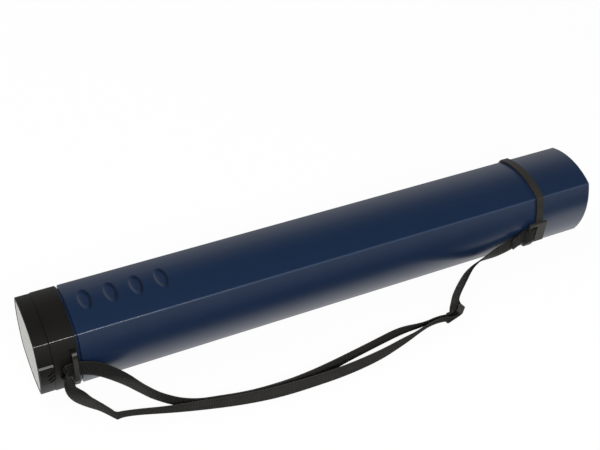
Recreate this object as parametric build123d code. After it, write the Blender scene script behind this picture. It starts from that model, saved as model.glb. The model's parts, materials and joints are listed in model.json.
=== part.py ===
"""Telescopic plastic drawing tube with a shoulder strap.

The tube lies along X on the floor z = 0, lid at -X and base at +X, with the strap in front of it at -Y.
The origin is on the floor below the middle of the closed tube.
"""
from build123d import *
import os
from math import cos, radians, sin, sqrt, tan

# Driving dimensions, in millimetres
CLOSED_LENGTH = 669.0
ACROSS_FLATS = 90.0
SIDE_ARC_RADIUS = 84.0
CORNER_RADIUS = 1.5

# Outer tube
OUTER_WALL = 2.0
BASE_WALL = 2.5
BASE_ROUND = 2.2
MOUTH_BEVEL = 0.8
LIP_HEIGHT = 1.2
LIP_LENGTH = 10.0
DIMPLE_COUNT = 4
DIMPLE_PITCH = 27.0
DIMPLE_FIRST = 18.5
DIMPLE_DEPTH = 1.2
DIMPLE_SCOOP_RADIUS = 18.0
DIMPLE_RIM_ROUND = 4.0

# Inner tube
INNER_WALL = 1.8
SLIDE_CLEARANCE = 0.3
END_GAP = 5.0
BEAD_LENGTH = 6.0
STOP_BEAD_SETBACK = 67.6
GUIDE_BEAD_SETBACK = 10.0
FLANGE_LENGTH = 1.4
FLANGE_INSET = 0.8
FLANGE_BEVEL = 0.4
MOUTH_GAP = 1.2

# Collar and its strap bar
COLLAR_LENGTH = 25.7
COLLAR_LEDGE = 3.0
FIT_CLEARANCE = 0.1
EDGE_ROUND = 0.6
EDGE_BEVEL = 0.5
BAR_WIDTH = 5.0
BAR_THICKNESS = 3.0
BAR_HEIGHT = 45.0
BAR_RISE = 2.0
BAR_STANDOFF = 2.6
BAR_SETBACK = 2.3
LUG_THICKNESS = 2.5
LUG_GAP = 4.0
LUG_BEVEL = 1.8
POCKET_LENGTH = 13.0
POCKET_HEIGHT = 27.0
POCKET_DEPTH = 2.2

# Lid and label card
LID_LENGTH = 15.0
SEAM_GAP = 0.3
LID_INSET = 0.6
LID_END_WALL = 2.4
LID_SKIRT_WALL = 2.2
LID_CLEARANCE = 0.3
PLUG_WALL = 1.6
PLUG_DEPTH = 18.0
RIM_WIDTH = 3.0
LABEL_THICKNESS = 0.4
LABEL_RECESS = 0.8
LABEL_CLEARANCE = 0.1
TAB_HEIGHT = 26.0
TAB_RAISE = 2.4
TAB_SETBACK = 0.6
TAB_BEVEL = 1.6
TAB_GROOVE_COUNT = 3
TAB_GROOVE_TOP = 2.8
TAB_GROOVE_PITCH = 5.8
TAB_GROOVE_WIDTH = 2.2
TAB_GROOVE_LENGTH = 9.0
TAB_GROOVE_DEPTH = 1.4
TAB_GROOVE_SETBACK = 3.5
TAB_GROOVE_SLANT = 40.0

# Strap ring with its bracket
RING_THICKNESS = 2.4
RING_WIDTH = 9.5
RING_FROM_BASE = 68.7
RING_CLEARANCE = 0.1
BRACKET_LENGTH = 24.5
BRACKET_HEIGHT = 29.0
BRACKET_THICKNESS = 3.2
BRACKET_DROP = 6.4
BRACKET_OVERHANG = 5.5
BRACKET_BAR_WIDTH = 5.0
BRACKET_SLOT_WIDTH = 6.0
BRACKET_RAIL = 3.5
BRACKET_ROUND = 1.0

# Strap webbing and its slider
STRAP_WIDTH = 20.0
STRAP_THICKNESS = 1.3
SLIDER_PLACE = (117.5, -98.5)
SLIDER_TURN = 42.0
SLIDER_LENGTH = 12.0
SLIDER_RAIL = 2.6
SLIDER_BAR_WIDTH = 2.6
SLIDER_BAR_THICKNESS = 1.8
SLIDER_CENTRE_BAR_WIDTH = 3.0
STRAP_PLAY = 0.3

# Places along X and up Z that follow from these sizes
AXIS_Z = ACROSS_FLATS / 2 + RING_THICKNESS
FACE_Y = -ACROSS_FLATS / 2
LID_X = -CLOSED_LENGTH / 2
BASE_X = CLOSED_LENGTH / 2
COLLAR_X = LID_X + LID_LENGTH + SEAM_GAP
FLANGE_X = COLLAR_X + COLLAR_LENGTH
MOUTH_X = FLANGE_X + FLANGE_LENGTH + MOUTH_GAP
LIP_END_X = MOUTH_X + LIP_LENGTH
RING_END_X = BASE_X - RING_FROM_BASE
RING_X = RING_END_X - RING_WIDTH
BAR_END_X = FLANGE_X - BAR_SETBACK
BAR_X = BAR_END_X - BAR_WIDTH
BRACKET_X = RING_END_X + BRACKET_OVERHANG - BRACKET_LENGTH
SLOT_X = BRACKET_X + BRACKET_BAR_WIDTH

# Insets of the nested sections, measured inward from the outer tube's surface
LIP_INSET = OUTER_WALL + LIP_HEIGHT
INNER_TUBE_INSET = LIP_INSET + SLIDE_CLEARANCE
INNER_BORE_INSET = INNER_TUBE_INSET + INNER_WALL
BEAD_INSET = OUTER_WALL + SLIDE_CLEARANCE
PLUG_INSET = INNER_BORE_INSET + LID_CLEARANCE
LABEL_POCKET_INSET = LID_INSET + RIM_WIDTH

# Strap routes in plan, chosen by hand. The near strand starts at its sewn end on the ring's bracket, and
# goes through the slider to the collar's bar, where the far strand takes over and returns to the slider.
SEWN_RETURN = [(226, -50.1), (237, -48.7), (243, -50.4), (247, -51.55)]
NEAR_ROUTE_FROM_RING = [
    (240, -46.2), (224, -48.8), (204, -49.4), (183, -50), (164, -55), (146, -68), (134, -81),
]
NEAR_ROUTE_TO_COLLAR = [
    (87, -105.2), (68.5, -109), (39, -116.5), (-1, -123), (-51, -126.7), (-97, -126), (-140, -120.8),
    (-181, -113.2), (-220, -103.2), (-252, -92.8), (-272, -89.3), (-279.5, -78.8), (-288.5, -69),
    (-296.5, -63.5), (-303.5, -59), (-307.5, -53), (-304.5, -46.4), (-297.4, -46.6),
]
FAR_ROUTE = [
    (-297.2, -46.6), (-283.5, -47), (-268, -50), (-251, -57), (-232, -75.5), (-216, -91.5), (-199, -102.6),
    (-180, -109.6), (-160, -113.9), (-139, -117.2), (-97, -120.3), (-70, -118.4), (-19, -110.8), (34, -101.6),
    (61, -98.6), (86, -95.2),
]
# Height of the strap's lower edge above the floor: along X on the right, along Y or X up to the collar
RIGHT_RISE = [(86, 0), (105, 3), (150, 3), (176, 9.5), (206, 19), (251, 31), (262, 31)]
NEAR_LEFT_RISE = [(-80, 0), (-69, 2), (-63.5, 8.5), (-59, 17), (-53, 29), (-49, 35.2), (-44, 35.2)]
FAR_LEFT_RISE = [(-300, 35.1), (-284, 32.8), (-268, 24), (-251, 9), (-232, 0), (-220, 0)]
LEFT_LIMIT_X = -320.0
NEAR_FLOOR_X = -260.0
# Where the collar's bar and the ring's slot start in these routes, and the free stretch between them
DRAWN_BAR_X = -299.8
DRAWN_SLOT_X = 251.0
FREE_FROM_X = -230.0
FREE_TO_X = 183.0
CORNER_SHARE = 0.45
SEWN_TURN = 3.2
SLIDER_LEAD = 11.0
LOOP_ENTRY = 7.0
LOOP_TAIL = 3.0


def cross_plane(x):
    """Plane across the tube at x, with its own x along Y and its own y along Z."""
    return Plane(origin=(x, 0, AXIS_Z), x_dir=(0, 1, 0), z_dir=(1, 0, 0))


def section(inset):
    """Rounded-square section with bulged sides, moved inward by inset."""
    radius = SIDE_ARC_RADIUS - inset
    centre = ACROSS_FLATS / 2 - SIDE_ARC_RADIUS
    corner = (centre + sqrt(2 * radius**2 - centre**2)) / 2
    side = ThreePointArc((-corner, corner), (0, centre + radius), (corner, corner))
    face = make_face([Rot(0, 0, 90 * quarter) * side for quarter in range(4)])
    return fillet(face.vertices(), CORNER_RADIUS)


def prism(inset, x_from, x_to):
    """Solid bar of the section from x_from to x_to."""
    return extrude(cross_plane(x_from) * section(inset), amount=x_to - x_from)


def sleeve(outside, inside, x_from, x_to):
    """Tube between two insets of the section."""
    return prism(outside, x_from, x_to) - prism(inside, x_from, x_to)


def block(x_from, x_to, y_from, y_to, z_from, z_to):
    """Box given by its limits."""
    box = Box(x_to - x_from, y_to - y_from, z_to - z_from)
    return Pos((x_from + x_to) / 2, (y_from + y_to) / 2, (z_from + z_to) / 2) * box


def make_outer_tube():
    """Closed at the base, with an inner lip at the mouth and a row of finger dimples on top."""
    tube = prism(0, MOUTH_X, BASE_X)
    tube = fillet(tube.faces().sort_by(Axis.X)[-1].edges(), BASE_ROUND)
    tube = chamfer(tube.faces().sort_by(Axis.X)[0].edges(), MOUTH_BEVEL)
    tube -= prism(OUTER_WALL, LIP_END_X, BASE_X - BASE_WALL)
    tube -= prism(LIP_INSET, MOUTH_X, LIP_END_X)
    scoop_z = AXIS_Z + ACROSS_FLATS / 2 - DIMPLE_DEPTH + DIMPLE_SCOOP_RADIUS
    for place in range(DIMPLE_COUNT):
        scoop_x = MOUTH_X + DIMPLE_FIRST + place * DIMPLE_PITCH
        scoop = Rot(90, 0, 0) * Cylinder(DIMPLE_SCOOP_RADIUS, ACROSS_FLATS)
        tube -= Pos(scoop_x, 0, scoop_z) * scoop
    rims = tube.edges().filter_by_position(Axis.Z, scoop_z - DIMPLE_SCOOP_RADIUS, AXIS_Z + ACROSS_FLATS / 2)
    rims = rims.filter_by_position(Axis.X, LIP_END_X + OUTER_WALL, scoop_x + DIMPLE_PITCH)
    return fillet(rims, DIMPLE_RIM_ROUND)


def make_inner_tube():
    """Open tube with a flange at the mouth, a stop bead and a guide bead near its inner end."""
    start = COLLAR_X + COLLAR_LEDGE + FIT_CLEARANCE
    end = BASE_X - BASE_WALL - END_GAP
    stop = end - STOP_BEAD_SETBACK
    guide = end - GUIDE_BEAD_SETBACK
    print("travel", round(stop - LIP_END_X - SLIDE_CLEARANCE, 1))
    tube = prism(INNER_TUBE_INSET, start, end)
    flange = prism(FLANGE_INSET, FLANGE_X + FIT_CLEARANCE, FLANGE_X + FLANGE_LENGTH)
    for end_face in (0, -1):
        flange = chamfer(flange.faces().sort_by(Axis.X)[end_face].edges(), FLANGE_BEVEL)
    tube += flange
    for bead in (stop, guide):
        tube += prism(BEAD_INSET, bead, bead + BEAD_LENGTH)
    return tube - prism(INNER_BORE_INSET, start, end)


def make_collar():
    """Ring on the inner tube's end, with a pocket and a stand-off bar for the strap on its front face."""
    ring = prism(0, COLLAR_X, FLANGE_X)
    ring = chamfer(ring.faces().sort_by(Axis.X)[0].edges(), EDGE_BEVEL)
    ring -= prism(INNER_TUBE_INSET - FIT_CLEARANCE, COLLAR_X + COLLAR_LEDGE, FLANGE_X)
    ring -= prism(INNER_BORE_INSET, COLLAR_X, COLLAR_X + COLLAR_LEDGE)
    pocket_x = BAR_X - POCKET_LENGTH
    pocket_y = FACE_Y + POCKET_DEPTH
    pocket_z = POCKET_HEIGHT / 2
    middle = Pos(0, 0, AXIS_Z + BAR_RISE)
    ring -= middle * block(pocket_x, BAR_X, 2 * FACE_Y, pocket_y, -pocket_z, pocket_z)
    bar_back = FACE_Y - BAR_STANDOFF
    bar_front = bar_back - BAR_THICKNESS
    lug_pitch = LUG_THICKNESS + LUG_GAP
    bar_z = BAR_HEIGHT / 2 - lug_pitch
    bar = block(BAR_X, BAR_END_X, bar_front, bar_back, -bar_z, bar_z)
    bar = fillet(bar.edges().filter_by(Axis.Z), EDGE_ROUND)
    face_fall = SIDE_ARC_RADIUS - sqrt(SIDE_ARC_RADIUS**2 - (BAR_HEIGHT / 2 + BAR_RISE)**2)
    root_y = FACE_Y + face_fall + INNER_TUBE_INSET / 2
    for side in (-1, 1):
        for place in range(2):
            outer_z = side * (BAR_HEIGHT / 2 - place * lug_pitch)
            inner_z = outer_z - side * LUG_THICKNESS
            low = min(outer_z, inner_z)
            lug = block(BAR_X, BAR_END_X, bar_front + EDGE_ROUND, root_y, low, low + LUG_THICKNESS)
            bar += chamfer(lug.faces().sort_by(Axis.Y)[0].edges().sort_by(Axis.Z)[-1], LUG_BEVEL)
    ring += middle * bar
    return ring - prism(INNER_TUBE_INSET - FIT_CLEARANCE, COLLAR_X + COLLAR_LEDGE, FLANGE_X)


def make_lid():
    """Push-in lid: skirt, end wall with a recess for the label card, plug sleeve and a grooved thumb tab."""
    end = LID_X + LID_LENGTH
    lid = prism(LID_INSET, LID_X, end)
    lid = chamfer(lid.faces().sort_by(Axis.X)[0].edges(), EDGE_BEVEL)
    tab = prism(LID_INSET - TAB_RAISE, LID_X + TAB_SETBACK, end)
    tab_z = TAB_HEIGHT / 2
    tab &= block(LID_X, end, 2 * FACE_Y, 0, AXIS_Z - tab_z, AXIS_Z + tab_z)
    tab = chamfer(tab.edges().filter_by(Axis.X).sort_by(Axis.Y)[:2], TAB_BEVEL)
    groove_y = FACE_Y + LID_INSET - TAB_RAISE
    for place in range(TAB_GROOVE_COUNT):
        groove_z = AXIS_Z + TAB_GROOVE_TOP - place * TAB_GROOVE_PITCH
        groove = Box(TAB_GROOVE_LENGTH, 2 * TAB_GROOVE_DEPTH, TAB_GROOVE_WIDTH)
        groove = Rot(0, -TAB_GROOVE_SLANT, 0) * groove
        tab -= Pos(end - TAB_GROOVE_SETBACK, groove_y, groove_z) * groove
    lid += tab
    lid -= prism(LABEL_POCKET_INSET, LID_X, LID_X + LABEL_RECESS)
    lid -= prism(LID_INSET + LID_SKIRT_WALL, LID_X + LID_END_WALL, end)
    plug_end = end + SEAM_GAP + PLUG_DEPTH
    return lid + sleeve(PLUG_INSET, PLUG_INSET + PLUG_WALL, LID_X + LID_END_WALL, plug_end)


def make_label_card():
    """Plain card at the bottom of the lid's recess."""
    floor = LID_X + LABEL_RECESS
    return prism(LABEL_POCKET_INSET + LABEL_CLEARANCE, floor - LABEL_THICKNESS, floor)


def make_strap_ring():
    """Band round the outer tube, with a two-bar bracket that stands off its front face."""
    ring = sleeve(-RING_THICKNESS, -RING_CLEARANCE, RING_X, RING_END_X)
    back = FACE_Y - RING_THICKNESS
    front = back - BRACKET_THICKNESS
    end = BRACKET_X + BRACKET_LENGTH
    half = BRACKET_HEIGHT / 2
    plate = block(BRACKET_X, end, front, back, -half, half)
    plate = fillet(plate.edges().filter_by(Axis.Y), BRACKET_ROUND)
    plate = fillet(plate.faces().sort_by(Axis.Y)[0].edges(), BRACKET_ROUND)
    slot_end = SLOT_X + BRACKET_SLOT_WIDTH
    slot_z = half - BRACKET_RAIL
    plate -= block(SLOT_X, slot_end, front, back, -slot_z, slot_z)
    carrier = block(slot_end, RING_END_X, back, FACE_Y + RING_CLEARANCE, -half, half)
    bracket = Pos(0, 0, AXIS_Z - BRACKET_DROP) * (plate + carrier)
    bracket -= prism(-RING_CLEARANCE, BRACKET_X, end)
    return ring + bracket


def on_tube(x):
    """Place of a route's x on this tube: near an end it keeps to that end, and between them it spreads."""
    collar_shift = BAR_X - DRAWN_BAR_X
    ring_shift = SLOT_X - DRAWN_SLOT_X
    share = min(max((x - FREE_FROM_X) / (FREE_TO_X - FREE_FROM_X), 0), 1)
    return x + collar_shift + share * (ring_shift - collar_shift)


def fitted(route):
    """A plan route, placed on this tube."""
    return [(on_tube(x), y) for x, y in route]


def floor_z(x):
    """Height of the plane on which the tube comes to rest, on its strap ring and the collar's lower edge."""
    return RING_THICKNESS * (RING_X - x) / (RING_X - COLLAR_X)


def raised(rise):
    """A rise along X, placed on this tube and set on the plane on which it rests."""
    return [(on_tube(x), floor_z(on_tube(x)) + height) for x, height in rise]


def slider_point(along, away):
    """Plan point beside the slider: along its length towards the collar, and away from the viewer."""
    turn = radians(SLIDER_TURN)
    x = on_tube(SLIDER_PLACE[0]) - along * cos(turn) - away * sin(turn)
    y = SLIDER_PLACE[1] - along * sin(turn) + away * cos(turn)
    return (x, y)


def make_slider():
    """Strap adjuster on edge: two rails, two bars before the through strand and one behind it."""
    height = STRAP_WIDTH + 2 * SLIDER_RAIL + 2 * STRAP_PLAY
    near_bars = STRAP_THICKNESS / 2 + STRAP_PLAY
    centre_bar = near_bars + STRAP_THICKNESS + STRAP_PLAY
    half = SLIDER_LENGTH / 2
    near = -near_bars - SLIDER_BAR_THICKNESS
    far = centre_bar + SLIDER_BAR_THICKNESS
    frame = block(-half, half, near, far, 0, SLIDER_RAIL)
    frame += block(-half, half, near, far, height - SLIDER_RAIL, height)
    frame = fillet(frame.edges().filter_by(Axis.Z), SLIDER_BAR_THICKNESS / 2)
    for start in (-half, half - SLIDER_BAR_WIDTH):
        frame += block(start, start + SLIDER_BAR_WIDTH, near, -near_bars, SLIDER_RAIL, height - SLIDER_RAIL)
    centre_half = SLIDER_CENTRE_BAR_WIDTH / 2
    frame += block(-centre_half, centre_half, centre_bar, far, SLIDER_RAIL, height - SLIDER_RAIL)
    x, y = slider_point(0, 0)
    return Pos(x, y, floor_z(x)) * Rot(0, 0, SLIDER_TURN) * frame


def corner_radii(points):
    """Largest even arc at each corner of a route, from its shorter neighbouring run and its turn."""
    runs = [Vector(*b) - Vector(*a) for a, b in zip(points, points[1:])]
    radii = []
    for before, after in zip(runs, runs[1:]):
        half_turn = radians(before.get_angle(after)) / 2
        radii.append(CORNER_SHARE * min(before.length, after.length) / tan(half_turn))
    return radii


def ribbon(name, points):
    """Upright wall along a plan route, from the floor to above the highest strap."""
    radii = corner_radii(points)
    path = FilletPolyline(*points, radius=radii)
    print(name, "length", round(path.length, 1), "radii", [round(radius, 1) for radius in radii])
    return extrude(trace(path, STRAP_THICKNESS), amount=AXIS_Z + STRAP_WIDTH)


def rise_band(edge):
    """Side-view band of the strap's width above a lower edge, as a face in its own x and y."""
    upper = [(place, height + STRAP_WIDTH) for place, height in reversed(edge)]
    return make_face(Polyline(*edge, *upper, close=True))


def along_x(edge):
    """Band of strap heights that changes with X, for every Y in front of the tube."""
    return extrude(Plane.XZ * rise_band(edge), amount=2 * ACROSS_FLATS)


def along_y(edge, x_from, x_to):
    """Band of strap heights that changes with Y, between two X."""
    return extrude(Plane.YZ.offset(x_from) * rise_band(edge), amount=x_to - x_from)


def make_strap_near():
    """Strand from its sewn return on the ring's bracket, through the slider, to the collar's bar."""
    turn_x = SLOT_X + SEWN_TURN
    back_y = NEAR_ROUTE_FROM_RING[0][1]
    front_y = FACE_Y - RING_THICKNESS - BRACKET_THICKNESS - STRAP_PLAY - STRAP_THICKNESS / 2
    loop = fitted(SEWN_RETURN) + [(turn_x, front_y), (turn_x, back_y)]
    through = [slider_point(-SLIDER_LEAD, 0), slider_point(SLIDER_LEAD, 0)]
    points = loop + fitted(NEAR_ROUTE_FROM_RING) + through + fitted(NEAR_ROUTE_TO_COLLAR)
    left_x = on_tube(LEFT_LIMIT_X)
    floor_x = on_tube(NEAR_FLOOR_X)
    left_z = floor_z(floor_x)
    left_rise = [(-2 * ACROSS_FLATS, left_z)] + [(y, left_z + height) for y, height in NEAR_LEFT_RISE]
    heights = along_x([(floor_x, left_z)] + raised(RIGHT_RISE)) + along_y(left_rise, left_x, floor_x)
    return ribbon("strap_near", points) & heights


def make_strap_far():
    """Strand from the collar's bar back to the slider, sewn round the slider's centre bar."""
    near_side = STRAP_THICKNESS / 2 + STRAP_PLAY + STRAP_THICKNESS / 2
    far_side = near_side + STRAP_THICKNESS + 2 * STRAP_PLAY + SLIDER_BAR_THICKNESS
    turn = -SLIDER_CENTRE_BAR_WIDTH / 2 - STRAP_PLAY - STRAP_THICKNESS
    loop = [slider_point(LOOP_ENTRY, far_side), slider_point(turn, far_side)]
    loop += [slider_point(turn, near_side), slider_point(LOOP_TAIL, near_side)]
    return ribbon("strap_far", fitted(FAR_ROUTE) + loop) & along_x(raised(FAR_LEFT_RISE + RIGHT_RISE))


parts = {
    "outer_tube": make_outer_tube(),
    "inner_tube": make_inner_tube(),
    "collar": make_collar(),
    "lid": make_lid(),
    "label_card": make_label_card(),
    "strap_ring": make_strap_ring(),
    "slider": make_slider(),
    "strap_near": make_strap_near(),
    "strap_far": make_strap_far(),
}

os.makedirs("parts", exist_ok=True)
for name, part in parts.items():
    export_step(part, f"parts/{name}.step")
    print(name, "volume", round(part.volume), "solids", len(part.solids()))
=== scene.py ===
# %% [markdown]
# # A plastic drawing tube with its shoulder strap
#
# The tube is a telescopic case for rolled drawings: a blue outer tube, an inner tube that slides in it, a
# black collar with a push-in lid, a black ring near the base and one long strap of webbing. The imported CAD
# model gives every rigid piece at its real size. This lesson gives those pieces their finishes, weaves the
# strap, and sets up the studio. Lengths are in metres, and millimetres are written as a number times MM.

# %% Load the frame
import json
from math import cos, pi, radians, sin, tau

import bmesh
import bpy
from mathutils import Matrix, Quaternion, Vector

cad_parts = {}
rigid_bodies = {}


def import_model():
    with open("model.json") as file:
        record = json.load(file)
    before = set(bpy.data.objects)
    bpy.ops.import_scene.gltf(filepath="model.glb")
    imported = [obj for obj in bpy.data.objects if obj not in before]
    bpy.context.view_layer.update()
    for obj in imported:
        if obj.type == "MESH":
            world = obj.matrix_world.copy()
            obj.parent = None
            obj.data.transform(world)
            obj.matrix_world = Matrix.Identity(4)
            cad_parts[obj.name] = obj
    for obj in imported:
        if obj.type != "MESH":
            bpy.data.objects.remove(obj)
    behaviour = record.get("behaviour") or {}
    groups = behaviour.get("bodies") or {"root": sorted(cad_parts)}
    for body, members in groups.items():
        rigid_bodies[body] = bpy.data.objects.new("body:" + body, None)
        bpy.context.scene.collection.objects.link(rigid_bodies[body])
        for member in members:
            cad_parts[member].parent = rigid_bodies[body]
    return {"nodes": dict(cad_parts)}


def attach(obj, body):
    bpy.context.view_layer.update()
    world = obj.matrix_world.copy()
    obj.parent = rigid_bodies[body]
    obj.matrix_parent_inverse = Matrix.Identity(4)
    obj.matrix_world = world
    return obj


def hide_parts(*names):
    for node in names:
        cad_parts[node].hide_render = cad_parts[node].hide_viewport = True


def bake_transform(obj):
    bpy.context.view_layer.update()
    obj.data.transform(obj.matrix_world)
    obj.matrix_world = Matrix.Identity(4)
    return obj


MM = 0.001

for leftover in list(bpy.data.objects):
    bpy.data.objects.remove(leftover)

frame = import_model()
nodes = frame["nodes"]
scene = bpy.context.scene
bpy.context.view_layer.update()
print("nodes:", ", ".join(sorted(nodes)))

# %% [markdown]
# ## The camera
#
# The photograph looks down on the tube from its lid end, with a little roll. A camera is easiest to read as a
# place, a point that it looks at and a roll about its own line of sight, so these are the values kept here.
# `to_track_quat` turns the line of sight into a rotation with a level horizon, and the roll is added last.

# %% Camera
CAMERA_PLACE = Vector((-0.4264, -0.7235, 0.8685))
CAMERA_TARGET = Vector((0.0248, 0.1057, 0.0))
CAMERA_ROLL = 4.6
LENS = 62.6

camera_data = bpy.data.cameras.new("camera")
camera_data.sensor_width = 36
camera_data.lens = LENS
camera = bpy.data.objects.new("camera", camera_data)
scene.collection.objects.link(camera)
level = (CAMERA_TARGET - CAMERA_PLACE).to_track_quat("-Z", "Y")
roll = Quaternion((0, 0, 1), radians(CAMERA_ROLL))
camera.rotation_mode = "QUATERNION"
camera.location = CAMERA_PLACE
camera.rotation_quaternion = level @ roll
scene.camera = camera
print("camera to target in m:", round((CAMERA_TARGET - CAMERA_PLACE).length, 3))

# %% [markdown]
# ## Small helpers for node trees
#
# Shader trees and geometry trees are built in the same way: make a node, feed its sockets, pass its output
# on. `feed` takes a number, a colour or another node's output, so that a formula reads from the inside out.

# %% Node helpers
def feed(tree, socket, value):
    """Gives a socket a plain value, or links it to another node's output."""
    if isinstance(value, bpy.types.NodeSocket):
        tree.links.new(value, socket)
    else:
        socket.default_value = value


def add(tree, kind, inputs=None, **settings):
    """A node of that kind, with its settings and its inputs by name or number."""
    made = tree.nodes.new(kind)
    for name, value in settings.items():
        setattr(made, name, value)
    for key, value in (inputs or {}).items():
        feed(tree, made.inputs[key], value)
    return made


def math(tree, operation, *values):
    """One step of arithmetic."""
    inputs = dict(enumerate(values))
    return add(tree, "ShaderNodeMath", inputs, operation=operation).outputs[0]


def ramp(tree, value, low, high, to_low=0.0, to_high=1.0):
    """Smooth change from to_low to to_high while value goes from low to high."""
    inputs = {"Value": value, "From Min": low, "From Max": high, "To Min": to_low, "To Max": to_high}
    return add(tree, "ShaderNodeMapRange", inputs, interpolation_type="SMOOTHSTEP").outputs[0]


def blend_colour(tree, share, first, second):
    """Mix of two colours."""
    inputs = {0: share, 6: first, 7: second}
    return add(tree, "ShaderNodeMix", inputs, data_type="RGBA").outputs[2]


def noise(tree, place, scale, detail=2.0, roughness=0.5):
    """Cloudy values around a half."""
    inputs = {"Vector": place, "Scale": scale, "Detail": detail, "Roughness": roughness}
    return add(tree, "ShaderNodeTexNoise", inputs).outputs[0]


def stretched(tree, place, scale):
    """Coordinates multiplied on each axis."""
    return add(tree, "ShaderNodeMapping", {"Vector": place, "Scale": scale}).outputs[0]


def new_material(name):
    """A material with its tree, its main shader and the piece's own coordinates."""
    material = bpy.data.materials.new(name)
    material.use_nodes = True
    tree = material.node_tree
    shader = tree.nodes["Principled BSDF"]
    place = add(tree, "ShaderNodeTexCoord").outputs["Object"]
    return material, tree, shader, place


# %% [markdown]
# ## The studio
#
# The photograph has a pure white ground. The floor is white to the camera, but lights the tube as plain pale
# paper. Reflections give the tube its form: its lower side mirrors the bright paper close to it, its upper
# edge mirrors the pale ground behind it, and the front between them mirrors a dim room. So the floor and the
# world show glossy rays a soft gradient instead of plain white.

# %% Floor
FLOOR_SIZE = 8.0
FLOOR_SHADOW = 0.04


def floor_material():
    """White to the camera with a faint shadow, pale paper to the lamps, a gradient to reflections."""
    material, tree, shader, place = new_material("studio_floor")
    shader.inputs["Base Color"].default_value = (0.75, 0.75, 0.75, 1)
    shader.inputs["Roughness"].default_value = 1.0
    path = add(tree, "ShaderNodeLightPath")
    axes = add(tree, "ShaderNodeSeparateXYZ", {0: place}).outputs
    y = axes["Y"]
    wider = math(tree, "ADD", y, ramp(tree, axes["X"], 0.2, 0.36, 0.0, 0.045))
    close = ramp(tree, wider, -0.105, -0.045, 0.03, 1.15)
    away = ramp(tree, y, -0.4, -0.1, 0.33, 0.0)
    behind = ramp(tree, y, 0.0, 0.5, 1.0, 0.55)
    mirrored = math(tree, "MULTIPLY", math(tree, "MAXIMUM", close, away), behind)
    white = add(tree, "ShaderNodeEmission")
    seen = add(tree, "ShaderNodeEmission", {"Strength": mirrored})
    to_camera = add(tree, "ShaderNodeMixShader", {0: FLOOR_SHADOW, 1: white.outputs[0], 2: shader.outputs[0]})
    to_glossy = add(tree, "ShaderNodeMixShader")
    feed(tree, to_glossy.inputs[0], path.outputs["Is Glossy Ray"])
    feed(tree, to_glossy.inputs[1], shader.outputs[0])
    feed(tree, to_glossy.inputs[2], seen.outputs[0])
    final = add(tree, "ShaderNodeMixShader")
    feed(tree, final.inputs[0], path.outputs["Is Camera Ray"])
    feed(tree, final.inputs[1], to_glossy.outputs[0])
    feed(tree, final.inputs[2], to_camera.outputs[0])
    tree.links.new(final.outputs[0], tree.nodes["Material Output"].inputs["Surface"])
    return material


def make_floor():
    """One large square on z = 0."""
    half = FLOOR_SIZE / 2
    corners = [(-half, -half, 0), (half, -half, 0), (half, half, 0), (-half, half, 0)]
    mesh = bpy.data.meshes.new("floor")
    mesh.from_pydata(corners, [], [(0, 1, 2, 3)])
    mesh.materials.append(floor_material())
    floor = bpy.data.objects.new("floor", mesh)
    scene.collection.objects.link(floor)


make_floor()
print("floor side in m:", FLOOR_SIZE)

# %% World and lamps
def make_world():
    """White to the camera, a dim room with a pale horizon to reflections, an even soft light to the rest."""
    world = bpy.data.worlds.new("studio")
    world.use_nodes = True
    tree = world.node_tree
    path = add(tree, "ShaderNodeLightPath")
    direction = add(tree, "ShaderNodeTexCoord").outputs["Generated"]
    axes = add(tree, "ShaderNodeSeparateXYZ", {0: direction})
    height = ramp(tree, axes.outputs["Z"], 0.3, 0.85, 0.95, 0.02)
    back = ramp(tree, axes.outputs["Y"], -0.5, 0.5, 1.0, 0.75)
    side = ramp(tree, axes.outputs["X"], -0.4, 0.6, 0.3, 1.2)
    glow = math(tree, "MULTIPLY", math(tree, "MULTIPLY", height, back), side)
    room = add(tree, "ShaderNodeBackground", {"Strength": glow})
    even = add(tree, "ShaderNodeBackground", {"Strength": 0.55})
    white = add(tree, "ShaderNodeBackground", {"Strength": 1.0})
    lit = add(tree, "ShaderNodeMixShader")
    feed(tree, lit.inputs[0], path.outputs["Is Glossy Ray"])
    feed(tree, lit.inputs[1], even.outputs[0])
    feed(tree, lit.inputs[2], room.outputs[0])
    final = add(tree, "ShaderNodeMixShader")
    feed(tree, final.inputs[0], path.outputs["Is Camera Ray"])
    feed(tree, final.inputs[1], lit.outputs[0])
    feed(tree, final.inputs[2], white.outputs[0])
    tree.links.new(final.outputs[0], tree.nodes["World Output"].inputs["Surface"])
    scene.world = world


def make_lamp(name, place, target, size, power):
    """A square soft box that faces a point."""
    data = bpy.data.lights.new(name, "AREA")
    data.size = size
    data.energy = power
    lamp = bpy.data.objects.new(name, data)
    lamp.location = place
    lamp.rotation_euler = (Vector(target) - Vector(place)).to_track_quat("-Z", "Y").to_euler()
    scene.collection.objects.link(lamp)
    return lamp


make_world()
make_lamp("key_lamp", (-0.2, -1.35, 1.2), (-0.1, 0, 0.05), 0.5, 26)
fill_lamp = make_lamp("fill_lamp", (-0.9, 0.9, 1.7), (0, 0, 0.05), 1.2, 18)
fill_lamp.visible_glossy = False
scene.view_settings.view_transform = "Standard"

# %% [markdown]
# ## Blue plastic
#
# The tubes are extruded in a dark blue plastic with a satin skin. Its colour is nearly even, with a faint
# mottle, and the skin has fine drawn lines along its length and a few scuffs, more of them on the ridges. The
# CAD tube has four finger dimples. The finish steepens their walls a little, and paints shade on the walls on
# the base's side: a darker blue stands in for the shade that falls there.

# %% Blue plastic
TUBE_AXIS_Z = 47.4 * MM
RIDGE_REACH = 36.3 * MM
DIMPLE_FIRST = -272.4 * MM
DIMPLE_PITCH = 27 * MM
DIMPLE_LAST = 3
DIMPLE_HALF_LENGTH = 6.6 * MM
DIMPLE_HALF_WIDTH = 14.2 * MM
DIMPLE_LOWEST = 90.6 * MM
DIMPLE_PRESS = 0.4 * MM


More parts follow.
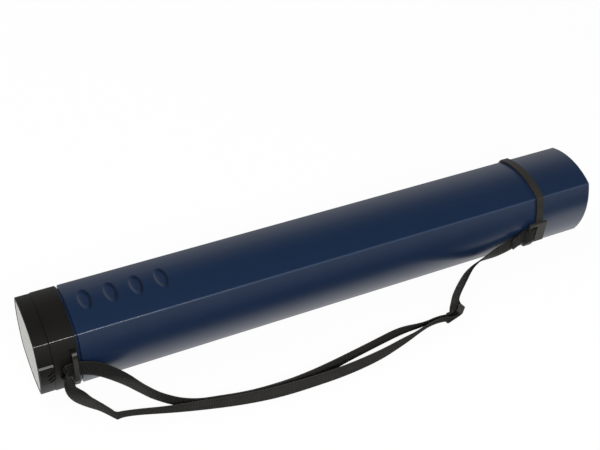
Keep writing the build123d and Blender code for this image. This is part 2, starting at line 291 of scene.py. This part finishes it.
def ridge_wear(tree, place):
    """One on the four ridges of the rounded-square section and nothing on its sides."""
    axes = add(tree, "ShaderNodeSeparateXYZ", {0: place})
    across = math(tree, "ABSOLUTE", axes.outputs["Y"])
    up = math(tree, "ABSOLUTE", math(tree, "SUBTRACT", axes.outputs["Z"], TUBE_AXIS_Z))
    return ramp(tree, math(tree, "MINIMUM", across, up), RIDGE_REACH - 1.5 * MM, RIDGE_REACH)


def dimples(tree, place):
    """Two masks for the outer tube's finger dimples: their floors, and the base-side walls for painted shade.
    """
    axes = add(tree, "ShaderNodeSeparateXYZ", {0: place}).outputs
    run = math(tree, "DIVIDE", math(tree, "SUBTRACT", axes["X"], DIMPLE_FIRST), DIMPLE_PITCH)
    nearest = math(tree, "MINIMUM", math(tree, "ROUND", run), DIMPLE_LAST)
    along = math(tree, "MULTIPLY", math(tree, "SUBTRACT", run, nearest), DIMPLE_PITCH / DIMPLE_HALF_LENGTH)
    across = math(tree, "DIVIDE", axes["Y"], DIMPLE_HALF_WIDTH)
    square = math(tree, "MULTIPLY_ADD", along, along, math(tree, "MULTIPLY", across, across))
    reach = math(tree, "SQRT", square)
    above = math(tree, "GREATER_THAN", axes["Z"], DIMPLE_LOWEST)
    floors = math(tree, "MULTIPLY", ramp(tree, reach, 0.55, 1.05, 1.0, 0.0), above)
    rims = math(tree, "MULTIPLY", ramp(tree, reach, 0.5, 0.8), ramp(tree, reach, 0.95, 1.2, 1.0, 0.0))
    base_side = math(tree, "MULTIPLY", ramp(tree, along, -0.1, 0.5), above)
    return floors, math(tree, "MULTIPLY", rims, base_side)


def blue_plastic():
    """Satin extruded plastic with drawn lines, scuffed ridges and pressed dimples."""
    material, tree, shader, place = new_material("blue_tube_plastic")
    mottle = noise(tree, place, 22.0, 3.0)
    drawn = noise(tree, stretched(tree, place, (4.0, 900.0, 900.0)), 1.0, 2.0)
    grain = noise(tree, place, 1800.0, 2.0)
    scuffs = ramp(tree, noise(tree, stretched(tree, place, (60.0, 380.0, 380.0)), 1.0, 4.0, 0.6), 0.62, 0.72)
    wear = math(tree, "MULTIPLY", ridge_wear(tree, place), 0.5)
    marks = math(tree, "MAXIMUM", math(tree, "MULTIPLY", scuffs, 0.12), wear)
    body = blend_colour(tree, mottle, (0.0050, 0.0148, 0.0410, 1), (0.0064, 0.0176, 0.0468, 1))
    floors, walls = dimples(tree, place)
    # Painted shade: the dimple walls on the base's side are darkened to stand in for the shade falling there.
    dimple_shaded = blend_colour(tree, math(tree, "MULTIPLY", walls, 0.8), body, (0.0008, 0.0040, 0.0160, 1))
    feed(tree, shader.inputs["Base Color"], blend_colour(tree, marks, dimple_shaded, (0.022, 0.042, 0.085, 1)))
    satin = math(tree, "MULTIPLY_ADD", drawn, 0.08, 0.26)
    feed(tree, shader.inputs["Roughness"], math(tree, "MULTIPLY_ADD", scuffs, 0.08, satin))
    relief = math(tree, "MULTIPLY_ADD", grain, 0.35, drawn)
    press = {"Strength": 1.0, "Distance": DIMPLE_PRESS, "Height": floors}
    pressed = add(tree, "ShaderNodeBump", press, invert=True)
    bump = add(tree, "ShaderNodeBump", {"Strength": 0.05, "Distance": 0.2 * MM, "Height": relief})
    feed(tree, bump.inputs["Normal"], pressed.outputs[0])
    feed(tree, shader.inputs["Normal"], bump.outputs[0])
    shader.inputs["IOR"].default_value = 1.5
    return material


# %% [markdown]
# ## Black plastic
#
# The collar, lid, ring and slider are moulded. A mould is spark-eroded to a fine even grain, so the black is
# never a mirror: it turns grey and slightly warm where the light grazes it. Hands polish the grain off the
# ridges and bevels, which lie between an upright and a level face. There the plastic catches the lamp. The
# pieces that the strap pulls on are scuffed to a dusty grey: the ring and the slider, which lie on the base's
# half, and the collar's bar, which stands proud of the tube.

# %% Black plastic
PROUD_FROM = 46.7 * MM
PROUD_STEP = 0.6 * MM
BASE_HALF_FROM = 0.0
BASE_HALF_TO = 100 * MM


def slanting(tree):
    """One on ridges and bevels that lie along the tube, and nothing on upright and level faces."""
    normal = add(tree, "ShaderNodeTexCoord").outputs["Normal"]
    facing = add(tree, "ShaderNodeSeparateXYZ", {0: normal}).outputs
    level = math(tree, "ABSOLUTE", facing["Y"])
    upright = math(tree, "ABSOLUTE", facing["Z"])
    return ramp(tree, math(tree, "MINIMUM", level, upright), 0.5, 0.66)


def black_plastic():
    """Moulded plastic with a fine eroded grain, polished edges and scuffs where the strap pulls."""
    material, tree, shader, place = new_material("black_moulded_plastic")
    cloud = noise(tree, place, 45.0, 3.0)
    grain = noise(tree, place, 1500.0, 3.0, 0.6)
    body = blend_colour(tree, cloud, (0.0046, 0.0042, 0.0034, 1), (0.0072, 0.0066, 0.0054, 1))
    axes = add(tree, "ShaderNodeSeparateXYZ", {0: place}).outputs
    proud = ramp(tree, math(tree, "ABSOLUTE", axes["Y"]), PROUD_FROM, PROUD_FROM + PROUD_STEP)
    worn = math(tree, "MAXIMUM", proud, ramp(tree, axes["X"], BASE_HALF_FROM, BASE_HALF_TO, 0.0, 0.6))
    scuffed = math(tree, "MULTIPLY", worn, math(tree, "MULTIPLY_ADD", cloud, 0.6, 0.5))
    feed(tree, shader.inputs["Base Color"], blend_colour(tree, scuffed, body, (0.034, 0.0325, 0.0300, 1)))
    rubbed = math(tree, "MULTIPLY_ADD", ridge_wear(tree, place), 0.6, 0.4)
    polish = math(tree, "MULTIPLY", slanting(tree), math(tree, "MULTIPLY_ADD", proud, -0.3, rubbed))
    dull = math(tree, "MULTIPLY_ADD", grain, 0.14, 0.43)
    feed(tree, shader.inputs["Roughness"], math(tree, "MULTIPLY_ADD", polish, -0.2, dull))
    feed(tree, shader.inputs["Specular IOR Level"], math(tree, "MULTIPLY_ADD", polish, 0.4, 0.25))
    bump = add(tree, "ShaderNodeBump", {"Strength": 0.14, "Distance": 0.12 * MM, "Height": grain})
    feed(tree, shader.inputs["Normal"], bump.outputs[0])
    shader.inputs["IOR"].default_value = 1.5
    return material


# %% [markdown]
# ## Card
#
# The lid's end carries a pale card behind its rim. Card is matt, with faint fibres.

# %% Card
def pale_card():
    """Uncoated card with short fibres."""
    material, tree, shader, place = new_material("pale_card")
    fibres = noise(tree, stretched(tree, place, (300.0, 900.0, 260.0)), 1.0, 3.0)
    body = blend_colour(tree, fibres, (0.56, 0.565, 0.53, 1), (0.62, 0.625, 0.59, 1))
    feed(tree, shader.inputs["Base Color"], body)
    shader.inputs["Roughness"].default_value = 0.7
    bump = add(tree, "ShaderNodeBump", {"Strength": 0.1, "Distance": 0.05 * MM, "Height": fibres})
    feed(tree, shader.inputs["Normal"], bump.outputs[0])
    return material


# %% Dress the CAD nodes
finishes = {
    blue_plastic(): ["outer_tube", "inner_tube"],
    black_plastic(): ["collar", "lid", "strap_ring", "slider"],
    pale_card(): ["label_card"],
}
for finish, names in finishes.items():
    for name in names:
        nodes[name].data.materials.clear()
        nodes[name].data.materials.append(finish)
    print(finish.name, "on", ", ".join(names))

# %% [markdown]
# ## The strap's route
#
# The strap is one length of webbing. It is sewn round a bar of the ring's bracket, runs through the slider,
# turns round the collar's bar and comes back to the slider. It lies as two strands, so it is made as two
# cords that meet behind the collar's bar. The points follow the CAD routes and are set to the photograph.
# Each one gives the place of the strap's middle line in millimetres, and the lean of its upper edge towards
# the viewer in degrees. A NURBS spline with these control points gives the smooth line that stiff webbing
# takes.

# %% Route points
STRAP_WIDTH = 20 * MM
STRAP_THICKNESS = 1.3 * MM
SLIDER_FOOT = Vector((112.5, -99.4, 1.7))
SLIDER_TURN = radians(42)
SLIDER_LEAN = 30
SLIDER_HALF_HEIGHT = 12.7

NEAR_FROM_RING = [
    (226.8, -50.1, 32.6, 0), (237.5, -48.3, 36.0, 0), (242.2, -47.9, 37.6, 0), (245.2, -51.5, 38.8, 0),
    (255, -51.6, 41, 0), (255, -46.2, 41, 0), (247.8, -46.2, 39.4, 0), (240.8, -46.5, 37.0, 0),
    (225, -48.3, 31.8, 2), (207.5, -48.2, 26.5, 8), (198, -47.8, 23.6, 18), (189, -47.9, 21.6, 28),
    (179, -49.6, 19.3, 31), (169, -53.0, 17.0, 31), (161, -57.8, 15.6, 31), (149, -67.0, 14.0, 33),
    (138, -76.3, 13.2, 31), (130.3, -84.2, 13.0, 25), (122.9, -92.3, 13.3, 23),
]
NEAR_TO_COLLAR = [
    (100.1, -104.8, 11.4, 24), (88, -104.4, 10.4, 22), (74, -107.6, 10.2, 20), (58, -112.8, 10.4, 17),
    (42, -116.5, 10.8, 9.5), (12.4, -123.3, 11.0, 3.5), (-26.9, -127.6, 11.2, 2), (-62.5, -128.2, 11.3, 2),
    (-108.7, -126.8, 11.5, 0), (-151.2, -120.8, 11.7, 4), (-191.5, -111.4, 11.8, 8),
    (-221.5, -104.2, 11.6, 17), (-250, -95.2, 11.5, 20), (-266, -91.4, 11.6, 20), (-272.5, -92.0, 11.8, 15),
    (-275, -87.8, 11.9, 11), (-285, -73.4, 12.4, 8), (-292.2, -67.0, 13.8, 3), (-297.8, -62.9, 17.0, -2),
    (-302.2, -60.2, 21.6, -4), (-305.2, -58.0, 27.0, -5), (-307.0, -55.8, 33.2, -5),
    (-307.8, -53.4, 39.4, -2), (-309.4, -50.6, 44.6, 1), (-308.6, -47.0, 46.9, 0), (-303.4, -46.6, 47.3, 0),
    (-298.4, -46.6, 47.3, 0),
]
FAR_FROM_COLLAR = [
    (-298.2, -46.6, 47.3, 0), (-284.5, -47.0, 43.6, 0), (-269, -50.0, 33.6, 2), (-252, -57.0, 20.8, 3),
    (-241, -66.0, 13.2, 3), (-233, -76.3, 12.0, 4), (-226, -84.7, 11.9, 9), (-217.8, -92.4, 11.8, 10),
    (-207, -100.4, 11.7, 13), (-191.5, -108.6, 11.7, 10), (-171, -113.4, 11.7, 7), (-151, -118.2, 11.7, 4),
    (-130, -121.2, 11.6, 2), (-98, -122.6, 11.5, 0), (-71, -120.8, 11.3, 0), (-46, -117.0, 11.2, 4),
    (-20, -112.3, 11.1, 8), (9, -107.4, 10.9, 9), (36.6, -102.8, 10.8, 8), (51, -101.6, 10.6, 13),
    (64, -101.8, 10.2, 20), (77, -102.2, 10.0, 23), (92.5, -101.0, 11.0, 24),
]


def slider_axes():
    """Directions in the slider's own frame: along the strap to the collar, away from the viewer, and up."""
    lean = radians(SLIDER_LEAN)
    along = Vector((-cos(SLIDER_TURN), -sin(SLIDER_TURN), 0))
    back = Vector((-sin(SLIDER_TURN), cos(SLIDER_TURN), 0))
    up = Vector((0, 0, 1))
    return along, back * cos(lean) + up * sin(lean), up * cos(lean) - back * sin(lean)


def slider_point(along, away, lean=SLIDER_LEAN):
    """Control point inside the slider, on the strap's middle line."""
    run, back, up = slider_axes()
    place = SLIDER_FOOT + up * SLIDER_HALF_HEIGHT + run * along + back * away
    return (*place, lean)


through = [slider_point(-6, 0), slider_point(2, 0), slider_point(7.5, 0)]
far_loop = [slider_point(7, 5.3), slider_point(-3.2, 5.3), slider_point(-3.2, 1.6, -SLIDER_LEAN)]
far_loop.append(slider_point(3, 1.6, -SLIDER_LEAN))
near_points = NEAR_FROM_RING + through + NEAR_TO_COLLAR
far_points = FAR_FROM_COLLAR + far_loop
print("control points:", len(near_points), "near and", len(far_points), "far")

# %% [markdown]
# ## Webbing with Geometry Nodes
#
# Webbing is a flat tape woven with ribs across it. It repeats along a path, so a node tree weaves it: the
# route is resampled, a flat section with rounded edges is swept along it with its width upright, and the ribs
# are raised along the normals, less at the woven edges. The tree also stores a UV map in metres along and
# across the tape, which the material uses for its yarns. The tilt of each control point leans the tape.

# %% Webbing tree
RIB_PITCH = 2.6 * MM
RIB_HEIGHT = 0.2 * MM
ROWS_IN_A_RIB = 6
COLUMNS = 12


def tree_with(name, sizes):
    """A geometry tree with its named size inputs and its geometry input and output."""
    tree = bpy.data.node_groups.new(name, "GeometryNodeTree")
    tree.interface.new_socket("Geometry", in_out="INPUT", socket_type="NodeSocketGeometry")
    for size, kind in sizes.items():
        tree.interface.new_socket(size, in_out="INPUT", socket_type=kind)
    tree.interface.new_socket("Geometry", in_out="OUTPUT", socket_type="NodeSocketGeometry")
    return tree, add(tree, "NodeGroupInput").outputs, add(tree, "NodeGroupOutput").inputs


def tape_section(tree, sizes):
    """Closed flat section: one row of points along its top, and one back along its underside."""
    top = math(tree, "ADD", sizes["Columns"], 1)
    circle = add(tree, "GeometryNodeCurvePrimitiveCircle", {"Resolution": math(tree, "MULTIPLY", top, 2)})
    index = add(tree, "GeometryNodeInputIndex").outputs[0]
    under = math(tree, "GREATER_THAN", index, sizes["Columns"])
    back = math(tree, "SUBTRACT", math(tree, "SUBTRACT", math(tree, "MULTIPLY", top, 2), 1), index)
    column = math(tree, "ADD", math(tree, "MULTIPLY", under, back),
                  math(tree, "MULTIPLY", math(tree, "SUBTRACT", 1, under), index))
    share = math(tree, "DIVIDE", column, sizes["Columns"])
    across = math(tree, "MULTIPLY", math(tree, "SUBTRACT", share, 0.5), sizes["Width"])
    inward = math(tree, "MINIMUM", column, math(tree, "SUBTRACT", sizes["Columns"], column))
    fullness = ramp(tree, inward, -0.6, 0.8)
    side = math(tree, "SUBTRACT", 0.5, under)
    proud = math(tree, "MULTIPLY", math(tree, "MULTIPLY", side, fullness), sizes["Thickness"])
    place = add(tree, "ShaderNodeCombineXYZ", {0: proud, 1: across}).outputs[0]
    section = add(tree, "GeometryNodeSetPosition", {"Geometry": circle.outputs[0], "Position": place})
    return section.outputs[0]


def webbing_tree():
    """Sweeps the section along the route and raises the ribs."""
    number = "NodeSocketFloat"
    sizes = {"Width": number, "Thickness": number, "Rib Pitch": number, "Rib Height": number,
             "Step": number, "Columns": "NodeSocketInt", "Finish": "NodeSocketMaterial"}
    tree, given, result = tree_with("weave_webbing", sizes)
    resample = add(tree, "GeometryNodeResampleCurve", {"Curve": given["Geometry"], "Length": given["Step"]},
                   mode="LENGTH")
    upright = add(tree, "GeometryNodeSetCurveNormal", {"Curve": resample.outputs[0]}, mode="Z_UP")
    length = add(tree, "GeometryNodeSplineParameter").outputs["Length"]
    run = add(tree, "GeometryNodeCaptureAttribute", {"Geometry": upright.outputs[0]}, domain="POINT")
    run.capture_items.new("FLOAT", "run")
    feed(tree, run.inputs["run"], length)
    section = tape_section(tree, given)
    width = add(tree, "GeometryNodeCaptureAttribute", {"Geometry": section}, domain="POINT")
    width.capture_items.new("FLOAT", "across")
    place = add(tree, "GeometryNodeInputPosition").outputs[0]
    feed(tree, width.inputs["across"], add(tree, "ShaderNodeSeparateXYZ", {0: place}).outputs["Y"])
    swept = add(tree, "GeometryNodeCurveToMesh", {"Curve": run.outputs[0], "Profile Curve": width.outputs[0],
                                                  "Fill Caps": True})
    turn = math(tree, "MULTIPLY", math(tree, "DIVIDE", run.outputs["run"], given["Rib Pitch"]), tau)
    middle = math(tree, "MULTIPLY", given["Width"], 0.36)
    rim = math(tree, "MULTIPLY", given["Width"], 0.5)
    calm = ramp(tree, math(tree, "ABSOLUTE", width.outputs["across"]), middle, rim, 1.0, 0.25)
    height = math(tree, "MULTIPLY", given["Rib Height"], calm)
    rib = math(tree, "MULTIPLY", math(tree, "COSINE", turn), height)
    normal = add(tree, "GeometryNodeInputNormal").outputs[0]
    offset = add(tree, "ShaderNodeVectorMath", {0: normal, "Scale": rib}, operation="SCALE").outputs[0]
    ribbed = add(tree, "GeometryNodeSetPosition", {"Geometry": swept.outputs[0], "Offset": offset})
    flat = add(tree, "ShaderNodeCombineXYZ", {0: run.outputs["run"], 1: width.outputs["across"]}).outputs[0]
    mapped = add(tree, "GeometryNodeStoreNamedAttribute", data_type="FLOAT2", domain="CORNER")
    feed(tree, mapped.inputs["Geometry"], ribbed.outputs[0])
    feed(tree, mapped.inputs["Name"], "UVMap")
    feed(tree, mapped.inputs["Value"], flat)
    smooth = add(tree, "GeometryNodeSetShadeSmooth", {"Geometry": mapped.outputs[0]})
    real = add(tree, "GeometryNodeRealizeInstances", {"Geometry": smooth.outputs[0]})
    dressed = {"Geometry": real.outputs[0], "Material": given["Finish"]}
    feed(tree, result[0], add(tree, "GeometryNodeSetMaterial", dressed).outputs[0])
    return tree


# %% Webbing material
YARN_PITCH = 1.25 * MM
# Below these heights the strap is painted lighter: painted light on its low, leaning parts.
LIGHTER_FULL_TO = 14 * MM
LIGHTER_GONE_FROM = 30 * MM


def webbing():
    """Black tape: yarns in columns, with painted shade between the ribs and painted light on its low parts.
    """
    material, tree, shader, place = new_material("black_webbing")
    flat = add(tree, "ShaderNodeUVMap", uv_map="UVMap").outputs[0]
    axes = add(tree, "ShaderNodeSeparateXYZ", {0: flat})
    run = math(tree, "DIVIDE", axes.outputs["X"], RIB_PITCH)
    yarn = math(tree, "DIVIDE", axes.outputs["Y"], YARN_PITCH)
    rib = math(tree, "MULTIPLY_ADD", math(tree, "COSINE", math(tree, "MULTIPLY", run, tau)), 0.5, 0.5)
    column = math(tree, "ABSOLUTE", math(tree, "COSINE", math(tree, "MULTIPLY", yarn, pi)))
    fuzz = noise(tree, place, 2600.0, 2.0)
    relief = math(tree, "ADD", math(tree, "MULTIPLY", rib, column), math(tree, "MULTIPLY", fuzz, 0.3))
    patch = noise(tree, place, 60.0, 2.0)
    # Painted shade: the colour follows the relief, darker between the ribs and the yarn columns, as if in
    # shade.
    body = blend_colour(tree, relief, (0.0022, 0.0021, 0.0019, 1), (0.0096, 0.0094, 0.0083, 1))
    height = add(tree, "ShaderNodeSeparateXYZ", {0: place}).outputs["Z"]
    # Painted light: the low, leaning parts are painted lighter and warmer, standing in for the light they
    # catch.
    low = ramp(tree, height, LIGHTER_FULL_TO, LIGHTER_GONE_FROM, 1.0, 0.0)
    painted_light = math(tree, "MULTIPLY", low, math(tree, "MULTIPLY_ADD", patch, 0.4, 0.15))
    feed(tree, shader.inputs["Base Color"], blend_colour(tree, painted_light, body, (0.038, 0.0350, 0.0280, 1)))
    feed(tree, shader.inputs["Specular IOR Level"], math(tree, "MULTIPLY_ADD", low, 0.25, 0.25))
    shader.inputs["Roughness"].default_value = 0.75
    bump = add(tree, "ShaderNodeBump", {"Strength": 0.5, "Distance": 0.15 * MM, "Height": relief})
    feed(tree, shader.inputs["Normal"], bump.outputs[0])
    return material


# %% Weave the two strands
def route_curve(name, points, lean_sign):
    """A smooth open NURBS spline with the strap's control points. A tilt's sign follows its direction."""
    data = bpy.data.curves.new(name, "CURVE")
    data.dimensions = "3D"
    data.resolution_u = 12
    spline = data.splines.new("NURBS")
    spline.points.add(len(points) - 1)
    for knot, (x, y, z, lean) in zip(spline.points, points):
        knot.co = (x * MM, y * MM, z * MM, 1)
        knot.tilt = lean_sign * radians(lean)
    spline.order_u = 3
    spline.use_endpoint_u = True
    curve = bpy.data.objects.new(name, data)
    scene.collection.objects.link(curve)
    return curve


def set_inputs(modifier, values):
    """Sets a tree's inputs by their identifiers."""
    for item in modifier.node_group.interface.items_tree:
        if item.in_out == "INPUT" and item.name in values:
            modifier[item.identifier] = values[item.name]


def plain_mesh(source, name):
    """The evaluated result of an object's modifiers, as a plain mesh object."""
    depsgraph = bpy.context.evaluated_depsgraph_get()
    mesh = bpy.data.meshes.new_from_object(source.evaluated_get(depsgraph), depsgraph=depsgraph)
    mesh.name = name
    piece = bpy.data.objects.new(name, mesh)
    scene.collection.objects.link(piece)
    return piece


def weave(name, points, lean_sign, tree, finish):
    """One strand of webbing, and the line that it follows."""
    curve = route_curve(name + "_route", points, lean_sign)
    line_mesh = bpy.data.meshes.new_from_object(curve)
    line = [vertex.co.copy() for vertex in line_mesh.vertices]
    modifier = curve.modifiers.new("webbing", "NODES")
    modifier.node_group = tree
    set_inputs(modifier, {
        "Width": STRAP_WIDTH, "Thickness": STRAP_THICKNESS, "Rib Pitch": RIB_PITCH, "Rib Height": RIB_HEIGHT,
        "Step": RIB_PITCH / ROWS_IN_A_RIB, "Columns": COLUMNS, "Finish": finish,
    })
    strand = plain_mesh(curve, name)
    bpy.data.objects.remove(curve)
    length = sum((b - a).length for a, b in zip(line, line[1:]))
    print(name, "length in mm:", round(length / MM, 1), "faces:", len(strand.data.polygons))
    return strand, line, length


tape_tree = webbing_tree()
tape_finish = webbing()
near_strand, near_line, near_length = weave("near_strand", near_points, -1, tape_tree, tape_finish)
far_strand, far_line, far_length = weave("far_strand", far_points, 1, tape_tree, tape_finish)

# %% [markdown]
# ## Stitches
#
# The strap's end is sewn to the strap beside the ring's bracket with a box and a cross. A node tree sets one
# small thread after another along that path, as a machine does.

# %% Stitches
STITCH_PITCH = 2.4 * MM
STITCH_LENGTH = 2.0 * MM
THREAD_THICKNESS = 0.6 * MM
LOW_END = (231.6, -50.2, 26.2)
HIGH_END = (227.1, -50.9, 40.5)
HIGH_BAR = (234.5, -49.8, 42.9)
LOW_BAR = (239.0, -49.1, 28.6)
STITCH_LINES = [[LOW_END, HIGH_END, HIGH_BAR, LOW_BAR, LOW_END, HIGH_BAR], [HIGH_END, LOW_BAR]]


def stitch_tree():
    """One thread at each step of a path, laid along it."""
    number = "NodeSocketFloat"
    sizes = {"Pitch": number, "Length": number, "Thickness": number, "Finish": "NodeSocketMaterial"}
    tree, given, result = tree_with("sew_stitches", sizes)
    steps = add(tree, "GeometryNodeCurveToPoints", {"Curve": given["Geometry"], "Length": given["Pitch"]},
                mode="LENGTH")
    ball = add(tree, "GeometryNodeMeshUVSphere", {"Segments": 8, "Rings": 6, "Radius": 0.5})
    size = add(tree, "ShaderNodeCombineXYZ", {2: given["Length"]})
    feed(tree, size.inputs["X"], given["Thickness"])
    feed(tree, size.inputs["Y"], given["Thickness"])
    sewn = add(tree, "GeometryNodeInstanceOnPoints")
    feed(tree, sewn.inputs["Points"], steps.outputs["Points"])
    feed(tree, sewn.inputs["Instance"], ball.outputs["Mesh"])
    feed(tree, sewn.inputs["Rotation"], steps.outputs["Rotation"])
    feed(tree, sewn.inputs["Scale"], size.outputs[0])
    real = add(tree, "GeometryNodeRealizeInstances", {"Geometry": sewn.outputs[0]})
    smooth = add(tree, "GeometryNodeSetShadeSmooth", {"Geometry": real.outputs[0]})
    dressed = {"Geometry": smooth.outputs[0], "Material": given["Finish"]}
    feed(tree, result[0], add(tree, "GeometryNodeSetMaterial", dressed).outputs[0])
    return tree


def thread():
    """Waxed black thread."""
    material, tree, shader, place = new_material("black_thread")
    twist = noise(tree, place, 900.0, 2.0)
    body = blend_colour(tree, twist, (0.010, 0.0098, 0.0088, 1), (0.020, 0.0196, 0.0175, 1))
    feed(tree, shader.inputs["Base Color"], body)
    shader.inputs["Roughness"].default_value = 0.55
    return material


def sew(finish):
    """The box and cross of stitches, fixed to the outer tube like the strap's end."""
    data = bpy.data.curves.new("stitch_path", "CURVE")
    data.dimensions = "3D"
    for line in STITCH_LINES:
        spline = data.splines.new("POLY")
        spline.points.add(len(line) - 1)
        for knot, place in zip(spline.points, line):
            knot.co = (*(Vector(place) * MM), 1)
    path = bpy.data.objects.new("stitch_path", data)
    scene.collection.objects.link(path)
    modifier = path.modifiers.new("stitches", "NODES")
    modifier.node_group = stitch_tree()
    set_inputs(modifier, {"Pitch": STITCH_PITCH, "Length": STITCH_LENGTH, "Thickness": THREAD_THICKNESS,
                          "Finish": finish})
    stitches = plain_mesh(path, "strap_stitches")
    bpy.data.objects.remove(path)
    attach(stitches, "outer")
    return stitches


print("stitch faces:", len(sew(thread()).data.polygons))

# %% [markdown]
# ## The slider
#
# The strap's weight tips the slider over, so it leans on the floor with the webbing. Its form is the CAD one:
# a copy of that mesh is cleaned, its sharp edges get the small rounds of a moulding, and it is tipped about
# its foot.

# %% Slider
SLIDER_PLACE = Vector((118.0, -98.5, 0.6))
SLIDER_ROUND = 0.5 * MM


def tipped_slider():
    """The moulded slider, leaning with the strap."""
    shape = bmesh.new()
    shape.from_mesh(nodes["slider"].data)
    bmesh.ops.remove_doubles(shape, verts=shape.verts, dist=0.001 * MM)
    bmesh.ops.dissolve_limit(shape, angle_limit=radians(1), verts=shape.verts, edges=shape.edges)
    axis = (cos(SLIDER_TURN), sin(SLIDER_TURN), 0)
    tip = Matrix.Rotation(radians(SLIDER_LEAN), 4, axis)
    place = Matrix.Translation(SLIDER_FOOT * MM) @ tip @ Matrix.Translation(-SLIDER_PLACE * MM)
    bmesh.ops.transform(shape, matrix=place, verts=shape.verts)
    mesh = bpy.data.meshes.new("tipped_slider")
    shape.to_mesh(mesh)
    shape.free()
    mesh.shade_smooth()
    mesh.materials.append(nodes["slider"].data.materials[0])
    slider = bpy.data.objects.new("tipped_slider", mesh)
    scene.collection.objects.link(slider)
    rounds = slider.modifiers.new("rounds", "BEVEL")
    rounds.width = SLIDER_ROUND
    rounds.segments = 3
    rounds.limit_method = "ANGLE"
    rounds.harden_normals = True
    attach(slider, "outer")
    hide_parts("slider")
    return slider


print("slider faces:", len(tipped_slider().data.polygons))

# %% [markdown]
# ## The strap in place of its CAD solids
#
# Each strand replaces its CAD solid: its mesh takes its transform, and the CAD node is hidden. Its real
# length is printed. When the inner tube is pulled out, the collar takes the strap's end with it.

for strand, node, line, length in (
    (near_strand, "strap_near", near_line, near_length),
    (far_strand, "strap_far", far_line, far_length),
):
    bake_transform(strand)
    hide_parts(node)
    print(strand.name, "is declared as a cord of", round(length, 3), "m")
